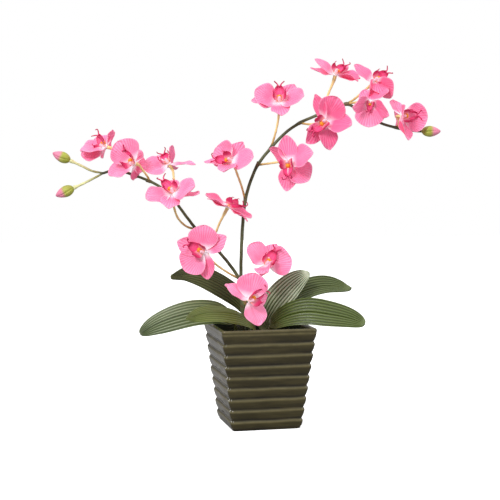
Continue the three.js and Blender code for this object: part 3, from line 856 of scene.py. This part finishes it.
# %% Layout of the blooms
LEFT_STEM = [
    (-12, -3, STEM_FOOT), (-12, -3, 118), (-15, -4, 150), (-20, -4, 183), (-27, -4, 201),
    (-54, -3, 237), (-71, -2, 252), (-86, -2, 269), (-108, -2, 298), (-120, -3, 315),
    (-135, -5, 327), (-149, -8, 335), (-170, -11, 343), (-195, -15, 350), (-211, -18, 346)]
RIGHT_STEM = [
    (-20, 6, STEM_FOOT), (-20, 6, 118), (-23, 6, 160), (-25, 5, 206), (-23, 4, 268),
    (-19, 2, 309), (-12, 0, 334), (-2, -2, 357), (16, -4, 380), (35, -6, 400),
    (55, -8, 414), (80, -10, 425), (98, -12, 433), (117, -14, 439), (130, -15, 434),
    (160, -20, 415), (184, -24, 407), (206, -28, 403), (217, -30, 402)]
# Each bloom: its stem and joint, its place, the way its middle faces (degrees left to right,
# degrees up), the direction of its lip round its face, its size, the strength of its deeper dye
# (tone) and its stalk's bends. Its five tepals are given as seen from the front: kind, direction
# (degrees anticlockwise from the right), lean of the tip towards the viewer, and roll of the blade
# about its own length (degrees). One bloom has a lip that is smaller than the others (lip_size).
BLOOMS = [
    dict(stem="left", joint=12, at=(-207, -25, 382), face=(-65, 20), size=0.95, lip=138,
         tone=0.3, tepals=[("sepal", 75, -54, 80), ("sepal", 134, -58, 20), ("sepal", 225, -74, 60),
                 ("petal", 203, -10, 46), ("petal", 193, 22, 72)],
         via=[(-187, -7, 352), (-195, -7, 366)]),
    dict(stem="left", joint=11, at=(-168, -38, 359), face=(-35, 10), size=1.0, lip=125,
         tone=0.3, tepals=[("sepal", 282, -58, 130), ("sepal", 350, -76, 0), ("sepal", 100, -60, 0),
                 ("petal", 126, 0, 10), ("petal", 203, 5, 58)],
         via=[(-152, -14, 342), (-158, -22, 351)]),
    dict(stem="left", joint=9, at=(-124, 2, 359), face=(-60, 55), size=0.95, lip=155,
         tone=0.35, tepals=[("sepal", 78, -48, 72), ("sepal", 2, 5, -80), ("sepal", 262, -80, 0),
                 ("petal", 193, 8, 48), ("petal", 188, -30, 60)],
         via=[(-116, -1, 328), (-117, 1, 340)]),
    dict(stem="left", joint=7, at=(-117, -38, 320), face=(-10, 52), size=0.98, lip=135,
         tone=0.2, tepals=[("sepal", 110, -66, 0), ("sepal", 262, 58, 0), ("sepal", 356, 10, -72),
                 ("petal", 15, 24, -54), ("petal", 191, 8, 58)],
         via=[(-99, -5, 273), (-110, -12, 284), (-115, -18, 298)]),
    dict(stem="right", joint=5, at=(-39, -25, 362), face=(-30, 30), size=0.94, lip=190,
         tone=0.1, tepals=[("sepal", 58, -36, 0), ("sepal", 181, -10, 72), ("sepal", 235, 64, 40),
                 ("petal", 134, -42, -20), ("petal", 8, 20, -48)],
         via=[(-24, -5, 328), (-30, -10, 345)]),
    dict(stem="left", joint=6, at=(-42, -22, 301), face=(80, 62), size=0.95, lip=250,
         tone=0.8, tepals=[("sepal", 154, 38, 96), ("sepal", 329, 28, -98), ("sepal", 85, -78, 0),
                 ("petal", 153, 5, 76), ("petal", 330, 0, -78)],
         via=[(-61, -7, 262), (-54, -14, 278)]),
    dict(stem="left", joint=4, at=(-76, -36, 241), face=(-20, 5), size=0.98, lip=150,
         tone=0.3, tepals=[("sepal", 33, 5, -22), ("sepal", 161, -14, 12), ("sepal", 282, 0, 24),
                 ("petal", 87, 0, -10), ("petal", 226, 0, 18)],
         via=[(-44, -10, 211), (-63, -18, 226)]),
    dict(stem="right", joint=2, at=(10, -15, 222), face=(20, 35), size=0.98, lip=50,
         tone=0.2, tepals=[("sepal", 62, -38, 0), ("sepal", 232, 74, 48), ("sepal", 276, 78, 45),
                 ("petal", 131, 0, 48), ("petal", 12, -12, -16)],
         via=[(-10, 5, 186), (1, 2, 205)]),
    dict(stem="left", joint=2, at=(-13, -57, 178), face=(42, 5), size=1.0, lip=35,
         tone=0.1, tepals=[("sepal", 145, 8, 62), ("sepal", 100, -60, 0), ("sepal", 5, -55, 0),
                 ("petal", 80, -8, 0), ("petal", 291, 8, -50)],
         via=[(-15, -16, 157), (-16, -34, 167)]),
    dict(stem="right", joint=8, at=(27, -15, 443), face=(0, 45), size=0.98, lip=90,
         tone=0.35, tepals=[("sepal", 176, 8, 50), ("sepal", 47, -34, -25), ("sepal", 278, 58, 0),
                 ("petal", 160, 0, 36), ("petal", 7, 18, -52)],
         via=[(22, -5, 400), (26, -6, 420)]),
    dict(stem="right", joint=7, at=(39, -45, 360), face=(-20, 5), size=0.98, lip=280,
         tone=0.7, tepals=[("sepal", 95, -18, 0), ("sepal", 138, -36, -60), ("sepal", 267, 0, 16),
                 ("petal", 24, 15, -50), ("petal", 318, 0, -34)],
         via=[(13, -12, 359), (30, -24, 361)]),
    dict(stem="right", joint=10, at=(87, -38, 415), face=(-15, 0), size=1.0, lip=225,
         tone=0.9, tepals=[("sepal", 106, -8, -54), ("sepal", 229, 8, -28), ("sepal", 282, 0, -20),
                 ("petal", 62, 0, 24), ("petal", 347, 8, -50)],
         via=[(68, -13, 412), (82, -20, 414)]),
    dict(stem="right", joint=11, at=(104, 0, 480), face=(30, 60), size=0.92, lip=28,
         tone=0.5, tepals=[("sepal", 144, 5, 58), ("sepal", 167, -5, 74), ("sepal", 345, 30, -96),
                 ("petal", 347, 0, -66), ("petal", 95, -68, 0)],
         via=[(88, -7, 440), (96, 3, 458)]),
    dict(stem="right", joint=13, at=(157, -5, 471), face=(30, 30), size=0.92, lip=25,
         tone=0.45, tepals=[("sepal", 143, 0, 48), ("sepal", 300, 58, 150), ("sepal", 20, -60, 0),
                 ("petal", 248, 30, -62), ("petal", 318, 24, -122)],
         via=[(126, -10, 444), (142, -2, 457)]),
    dict(stem="right", joint=13, at=(147, -42, 440), face=(0, -5), size=0.92, lip=260,
         lip_size=0.62,
         tone=0.5, tepals=[("sepal", 195, 42, -35), ("sepal", 324, 32, 46), ("sepal", 100, -62, 0),
                 ("petal", 268, 8, 8), ("petal", 45, -38, -62)],
         via=[(129, -18, 441), (141, -26, 441)]),
    dict(stem="right", joint=16, at=(190, -42, 422), face=(35, 0), size=0.92, lip=5,
         tone=0.4, tepals=[("sepal", 112, -46, 45), ("sepal", 284, 22, -45), ("sepal", 190, -80, 0),
                 ("petal", 355, -6, 0), ("petal", 250, 74, -66)],
         via=[(187, -25, 411), (187, -28, 417)]),
]
BUDS = [
    dict(name="bud_upper_left", stem="left", base=(-255, -24, 363), toward=(-20, -3, 9), size=1.02,
         via=[(-226, -20, 349), (-240, -22, 356)]),
    dict(name="bud_lower_left", stem="left", base=(-251, -21, 326), toward=(-20, -2, -9), size=1.06,
         via=[(-224, -19, 339), (-240, -20, 331)]),
    dict(name="bud_right", stem="right", base=(218, -30, 402), toward=(20, -2, 0), size=1.0, via=[]),
]
PEDICEL_REACH = 11.0
HUB_BACK = 2.4


def facing(turn, rise):
    """The bloom's own axes: Z is the way it faces, Y is up its face."""
    return Matrix.Rotation(math.radians(turn), 3, "Z") @ Matrix.Rotation(math.radians(90 - rise), 3, "X")


print("blooms:", len(BLOOMS), "buds:", len(BUDS))

# %% Spikes
STEM_RADIUS = 2.6
STEM_TIP_RADIUS = 1.7


def taped(t, angle):
    """The wound tape as a shallow screw thread round the stem."""
    return 1 + 0.035 * np.sin(angle + 150 * t)


def bract(stem_points, share, turn, length):
    """A pointed scale that hugs the stem above a joint."""
    t = np.linspace(0, 1, 14)
    place, way = along_line(stem_points, [share - 0.004])
    way = way[0]
    side = unit(np.cross(way, [0.3, 0.2, 1.0]))
    across = np.cross(way, side)
    u = np.linspace(-1, 1, 13)
    angle = turn + u[None] * 1.9 * (1 - t[:, None] ** 1.5)
    radius = 2.45 + 0.8 * t[:, None] ** 2
    ring = np.cos(angle)[..., None] * side + np.sin(angle)[..., None] * across
    grid = place[0] + (length * t)[:, None, None] * way + radius[..., None] * ring
    return sheet(grid, 0.35, bract=1.0)


def joint_shares(points):
    """How far along the stem each of its points lies, as a share of its length."""
    dense = smooth_line(points)
    run = np.concatenate([[0], np.cumsum(np.linalg.norm(np.diff(dense, axis=0), axis=1))])
    return run[::LINE_STEPS] / run[-1]


for side, points in {"left": LEFT_STEM, "right": RIGHT_STEM}.items():
    shares = joint_shares(points)
    mine = [bloom for bloom in BLOOMS if bloom["stem"] == side]
    knots = np.array([shares[bloom["joint"]] for bloom in mine])

    def stem_radius(t):
        knot = np.exp(-((t[:, None] - knots) / 0.008) ** 2).sum(1)
        return STEM_RADIUS + (STEM_TIP_RADIUS - STEM_RADIUS) * t + 0.35 * np.minimum(knot, 1)

    bodies = [tube(points, stem_radius, 20, 260, shape=taped, bloomward=0.0, budward=0.0)]
    for number, bloom in enumerate(mine):
        back = -np.array(facing(*bloom["face"]).col[2])
        at = np.array(bloom["at"], float)
        route = [points[bloom["joint"]], *bloom["via"], at + back * PEDICEL_REACH, at + back * HUB_BACK]
        bodies.append(tube(
            route, lambda t: 1.55 - 0.2 * smoothstep(t, 0, 0.2) + 0.3 * t + smoothstep(t, 0.7, 1),
            14, 70,
            shape=lambda t, a: 1 + 0.07 * np.sin(2 * a + 40 * t),
            bloomward=lambda s: np.maximum(s, 0.002)))
        bodies.append(bract(points, shares[bloom["joint"]], 2.1 * number, 7.0))
    for bud in (bud for bud in BUDS if bud["stem"] == side):
        toward = unit(np.array(bud["toward"], float))
        route = [points[-1], *bud["via"], np.array(bud["base"]) - 0.2 * toward]
        bodies.append(tube(
            route, lambda t: 1.35 + 0.5 * t + 0.9 * smoothstep(t, 0.8, 1), 14, 50,
            shape=lambda t, a: 1 + 0.06 * np.sin(2 * a + 25 * t), budward=lambda s: s))
    piece = make_piece(side + "_flower_spike", bodies, stem.material, side + "_spike")
    print(side, "spike bodies:", len(bodies), "faces:", len(piece.data.polygons))

# %% [markdown]
# ## Silk petal finish
#
# Petals are stamped from dyed polyester. The dye was brushed on: almost white round the middle,
# clear pink over the rest, hotter pink in streaks and towards some edges, with a paler margin.
# Pressed veins fan out from the base. The back is deeper in colour, and the cloth has the soft
# sheen of silk. It is thin enough for a little light to pass through. Scattering light inside so
# thin a sheet gives speckles, so a faint glow of the cloth's own colour stands in for it.

# %% Petal finish
PETAL_VEINS = 9.0
petal = Finish("pink_silk", (255, 152, 192))
across, along, fan = petal.mark("across"), petal.mark("along"), petal.mark("fan")
petal.layer((246, 92, 146), petal.mark("tone"), 0.8)
petal.layer((244, 84, 136), petal.mottle(55, 0.48, 0.75), 0.4)
back = petal.math("SUBTRACT", 1.0, petal.mark("front"))
petal.layer((240, 92, 140), back, 0.6)
waver = petal.math("MULTIPLY_ADD", petal.mottle(45, 0.0, 1.0), 0.03, -0.015)
vein = petal.group(lines_group, "Line", Across=fan, Waver=waver, Count=PETAL_VEINS, Sharpness=4.0)
petal.layer((226, 50, 108), vein, 0.3)
wave = petal.group(lines_group, "Wave", Across=fan, Waver=waver, Count=PETAL_VEINS)
petal.layer((255, 196, 220), petal.ramp(petal.math("SUBTRACT", 1.0, wave), 0.6, 1.0), 0.22)
rim = petal.group(edge_group, "Mask", Across=across, Along=along, Start=0.86)
petal.layer((255, 178, 208), rim, 0.5)
flush = petal.math("MULTIPLY", petal.ramp(along, 0.2, 0.4), petal.ramp(along, 0.4, 0.85, 1.0, 0.0))
petal.layer((244, 84, 140), petal.math("MULTIPLY", flush, petal.mottle(70, 0.3, 0.75)), 0.5)
middle = petal.ramp(along, 0.02, 0.34, 1.0, -0.1)
petal.layer((252, 238, 246), petal.math("MULTIPLY_ADD", petal.mottle(90, 0.3, 0.7), 0.12, middle), 0.92)
normal = petal.bump(wave, 0.0003, 0.6)
normal = petal.bump(petal.grain(1100.0), 0.00012, 0.35, over=normal)
petal.done(normal, Roughness=0.62, Specular_IOR_Level=0.25, Sheen_Weight=0.12, Sheen_Roughness=0.45,
           Emission_Color=petal.colour, Emission_Strength=0.11)
print("petal veins to each unit of spread:", PETAL_VEINS)

# %% [markdown]
# ## Petals and sepals
#
# A bloom has two broad rounded petals and three narrower sepals behind them. Each is a sheet that
# leaves the hub narrow, swells and closes to a small point. A cut flower is never flat, so every
# sheet is cupped, its edge ruffles, its middle line creases and its tip curls, each by an amount
# drawn from a seeded generator. The same random numbers come out on every run.

# %% Petal shapes
SHEET_COLUMNS = 31
SHEET_ROWS = 26
CLOTH = 0.45
NECK_HALF = 2.4
HUB_GAP = 1.5
TEPAL_SHAPES = {
    "petal": dict(length=35.0, width=40.0, peak=1.15, roundness=0.6, arch=9.0, cup=0.2, level=0.3),
    "sepal": dict(length=37.0, width=24.0, peak=1.05, roundness=0.72, arch=6.0, cup=0.16, level=-0.9),
}


def blade_axes(direction, lean, roll):
    """The blade's own axes in the plant's frame: along it, across it, and out of its front."""
    a, tip, turn = (math.radians(angle) for angle in (direction, lean, roll))
    along = np.array([math.cos(a) * math.cos(tip), -math.sin(tip), math.sin(a) * math.cos(tip)])
    viewer = np.array([0.0, -1.0, 0.0])
    upright = unit(viewer - along * along.dot(viewer))
    out = math.cos(turn) * upright + math.sin(turn) * np.cross(along, upright)
    return along, np.cross(along, out), out


def tepal(kind, direction, lean, roll, rng, bloom, facing_way):
    """One petal or sepal as a closed sheet in the plant's frame."""
    shape = TEPAL_SHAPES[kind]
    along, wide, out = blade_axes(direction, lean, roll)
    u = np.linspace(-1, 1, SHEET_COLUMNS)[None]
    v = np.linspace(0, 1, SHEET_ROWS)[:, None]
    t = 1 - (1 - v) ** 1.5
    swell = np.sin(np.pi * np.clip(t, 0, 1 - 1e-9) ** shape["peak"]) ** shape["roundness"]
    half = NECK_HALF * (1 - t) + 0.5 * shape["width"] * swell + 0.4 * t
    reach = HUB_GAP + shape["length"] * t
    ruffle, ripple, crease = rng.uniform(0.6, 1.7), rng.uniform(0.4, 1.2), rng.uniform(0.4, 0.9)
    drift = rng.uniform(0, 2 * np.pi, 2)
    cup = shape["cup"] * rng.uniform(0.6, 1.5)
    curl = rng.uniform(-4.0, 2.0)
    height = shape["arch"] * rng.uniform(0.7, 1.2) * (t**2 - 0.7 * t) + cup * half * t**0.5 * u**2
    edge_wave = np.sin(3.2 * np.pi * t + np.where(u > 0, drift[0], drift[1]))
    height = height + ruffle * u**4 * edge_wave * np.minimum(1, 3 * t)
    height = height + ripple * t**6 * np.sin(2.5 * np.pi * u + drift[0])
    height = height - crease * np.exp(-(u / 0.09) ** 2) * np.sin(np.pi * t)
    height = height + curl * smoothstep(t, 0.6, 1.0) ** 2
    size = bloom["size"]
    start = np.array(bloom["at"]) + shape["level"] * size * facing_way
    offset = reach[..., None] * along + (u * half)[..., None] * wide + height[..., None] * out
    grid = start + size * offset
    tone = np.clip(bloom["tone"] + rng.uniform(-0.25, 0.35), 0, 1)
    return sheet(grid, CLOTH, across=0.5 * (u + 1), along=t, fan=u * half / (reach + 4), tone=tone)


def set_in_place(bodies, bloom):
    matrix = facing(*bloom["face"])
    return [moved(body, matrix, bloom["size"], bloom["at"]) for body in bodies]


def bloom_bodies(bloom, rng):
    hub_profile = [(0, -2.2), (2.0, -2.0), (3.2, -1.2), (3.9, 0.0), (3.6, 0.7), (2.0, 1.0), (0, 1.1)]
    bodies = set_in_place([turned(hub_profile, 20, across=0.5, along=0.05, tone=0.0)], bloom)
    way = np.array(facing(*bloom["face"]).col[2])
    return bodies + [tepal(*place, rng, bloom, way) for place in bloom["tepals"]]


for number, bloom in enumerate(BLOOMS, 1):
    bodies = bloom_bodies(bloom, np.random.default_rng(100 + number))
    piece = make_piece(f"silk_petals_{number:02d}", bodies, petal.material,
                       f"flower_{number:02d}_petals")
print("petal faces a bloom:", len(piece.data.polygons))

# %% [markdown]
# ## Lips
#
# The lip is the small folded part in the middle of the bloom, moulded separately and dyed by hand.
# A white column with a rounded cap stands over an orange lump. Two side walls curve up round it to
# sharp points. The middle lobe runs forward like a shield, narrows, and splits into two tendrils
# that curl back. Its dyes are marks on the mesh: orange, white and deep magenta.

# %% Lip finish
lip = Finish("dyed_lip", (247, 78, 138))
lip.layer((255, 112, 162), lip.mottle(120, 0.4, 0.7), 0.4)
lip.layer((178, 18, 72), lip.mark("deep"))
lip.layer((250, 232, 238), lip.mark("white"))
lip.layer((246, 158, 44), lip.mark("orange"))
spots = lip.math("MULTIPLY", lip.mark("white"), lip.mottle(800, 0.6, 0.66))
lip.layer((224, 96, 40), spots, 0.6)
lip_lines = lip.group(lines_group, "Wave", Across=lip.mark("across"), Count=7.0)
# Painted light: a faint glow of the lip's own colour lifts its shaded parts.
lip.done(lip.bump(lip_lines, 0.0003, 0.5), Roughness=0.5, Specular_IOR_Level=0.35,
         Emission_Color=lip.colour, Emission_Strength=0.1)


# %% Lip shapes
def lip_bodies():
    """Column, callus, middle lobe, side lobes and tendrils; the middle line runs down -Y."""
    column = tube([(0, 0.6, 1.4), (0, 1.2, 5), (0, 0.4, 9.5)],
                  lambda t: 3.0 - 1.0 * t - 1.4 * smoothstep(t, 0.85, 1.0), 16, 20,
                  white=lambda s: 0.9 - 0.3 * s, orange=lambda s: smoothstep(s, 0.25, 0.0) * 0.8,
                  deep=0.0, across=0.5)
    lump_profile = [(0, -2), (2.0, -1.5), (3.2, 0), (2.7, 1.6), (1.3, 2.6), (0, 2.8)]
    lump = turned(lump_profile, 16, orange=1.0, across=0.5)
    callus = moved(lump, Matrix.Rotation(math.radians(50), 3, "X"), 1.0, (0, -4.2, 4.8))
    u = np.linspace(-1, 1, 15)[None]
    t = np.linspace(0, 1, 22)[:, None]
    half = 2.0 + 5.2 * np.sin(np.pi * np.minimum(1, 0.12 + 0.84 * t)) ** 1.1
    shield = np.stack([
        -u * half + 0 * t,
        -1 - 19 * t + 0 * u,
        2.3 + 9 * np.sin(0.5 * np.pi * t) - 0.7 * half * (1 - u**2)
        + 0.5 * t * np.cos(2 * np.pi * u)], -1)
    midlobe = sheet(shield, 0.6, across=0.5 * (u + 1), orange=0.95 * smoothstep(t, 0.2, 0.1),
                    white=0.85 * smoothstep(t, 0.36, 0.24) * (1 - u**2),
                    deep=0.8 * smoothstep(t, 0.6, 1.0) + 0.7 * u**4)
    bodies = [column, callus, midlobe]
    for side in (-1, 1):
        t = np.linspace(0, 1, 18)[:, None]
        half = 2.0 + 4.6 * np.sin(np.pi * (0.15 + 0.7 * t)) * (1 - t**5)
        wall = np.stack([
            side * (1 + 7.6 * np.sin(0.6 * np.pi * t)) + 0.8 * side * u**2 * t,
            -1.5 + side * u * half - 1.0 * t,
            2.4 + 12 * t + 0 * u], -1)
        bodies.append(sheet(wall, 0.5, across=0.5 * (u + 1), orange=0.9 * smoothstep(t, 0.25, 0.05),
                            white=0.3 * smoothstep(t, 0.5, 0.2), deep=0.35 + 0.6 * t))
        curl = [(side, -18, 11), (side * 3, -22, 12), (side * 6.5, -23, 15.5), (side * 6.5, -20, 18.5)]
        bodies.append(tube(curl, lambda s: 1.15 - 0.55 * s, 9, 20,
                           deep=lambda s: 0.5 + 0.5 * s, across=0.5))
        barb = [(side * 8.0, -2.4, 13.6), (side * 8.6, -4, 15.8), (side * 8.0, -6.5, 16.6)]
        bodies.append(tube(barb, lambda s: 0.9 - 0.6 * s, 7, 8, deep=0.9, across=0.5))
    return bodies


for number, bloom in enumerate(BLOOMS, 1):
    spin = Matrix.Rotation(math.radians(bloom["lip"] + 90), 3, "Z")
    turned_lip = [moved(body, spin, bloom.get("lip_size", 1.0)) for body in lip_bodies()]
    bodies = set_in_place(turned_lip, bloom)
    piece = make_piece(f"silk_lip_{number:02d}", bodies, lip.material, f"flower_{number:02d}_lip")
print("lip faces a bloom:", len(piece.data.polygons))

# %% [markdown]
# ## Buds
#
# A bud is five tepals still wrapped round each other: five shallow seams run from the stalk to the
# tip and twist slightly. The dye goes from moss green at the stalk through pale pink to a deeper
# pink tip. It is turned like a spindle, and the seams are cut in by making the radius dip at five
# angles.

# %% Buds
bud_finish = Finish("bud_silk", (166, 184, 38))
bud_finish.layer((134, 146, 34), bud_finish.mottle(110, 0.4, 0.65), 0.5)
bud_along = bud_finish.mark("along")
blush = bud_finish.ramp(bud_along, 0.46, 0.62)
blush = bud_finish.math("MULTIPLY_ADD", bud_finish.mottle(140, 0.2, 0.8), 0.2, blush)
bud_finish.layer((232, 134, 164), blush)
bud_finish.layer((188, 76, 120), bud_finish.ramp(bud_along, 0.66, 1.0), 0.7)
bud_finish.done(bud_finish.bump(bud_finish.grain(), 0.00015, 0.5), Roughness=0.55, Sheen_Weight=0.2)

BUD_PROFILE = [
    (0, 0), (1.8, 0.1), (3.0, 0.6), (4.9, 2.6), (6.2, 5.2), (7.0, 8.4), (7.1, 11.2),
    (6.6, 14.2), (5.6, 17.2), (4.3, 20.0), (2.9, 22.2), (1.6, 23.8), (0.6, 24.6), (0, 24.8)]


def seamed(t, angle):
    """Five seams that twist a little towards the tip."""
    phase = 5 * (angle + 0.9 * t) / (2 * np.pi) % 1.0
    return 1.03 - 0.16 * np.exp(-(np.minimum(phase, 1 - phase) / 0.1) ** 2) * np.sin(np.pi * t) ** 0.5


for bud in BUDS:
    bud_line = smooth_line([(r, 0, h) for r, h in BUD_PROFILE])[::6]
    body = turned([(r, h) for r, _, h in bud_line], 60, seamed, along=lambda s: s)
    tilt = np.array(Vector((0, 0, 1)).rotation_difference(Vector(bud["toward"])).to_matrix())
    make_piece("silk_" + bud["name"], [moved(body, tilt, bud["size"], bud["base"])],
               bud_finish.material, bud["name"])
print("buds:", len(BUDS))
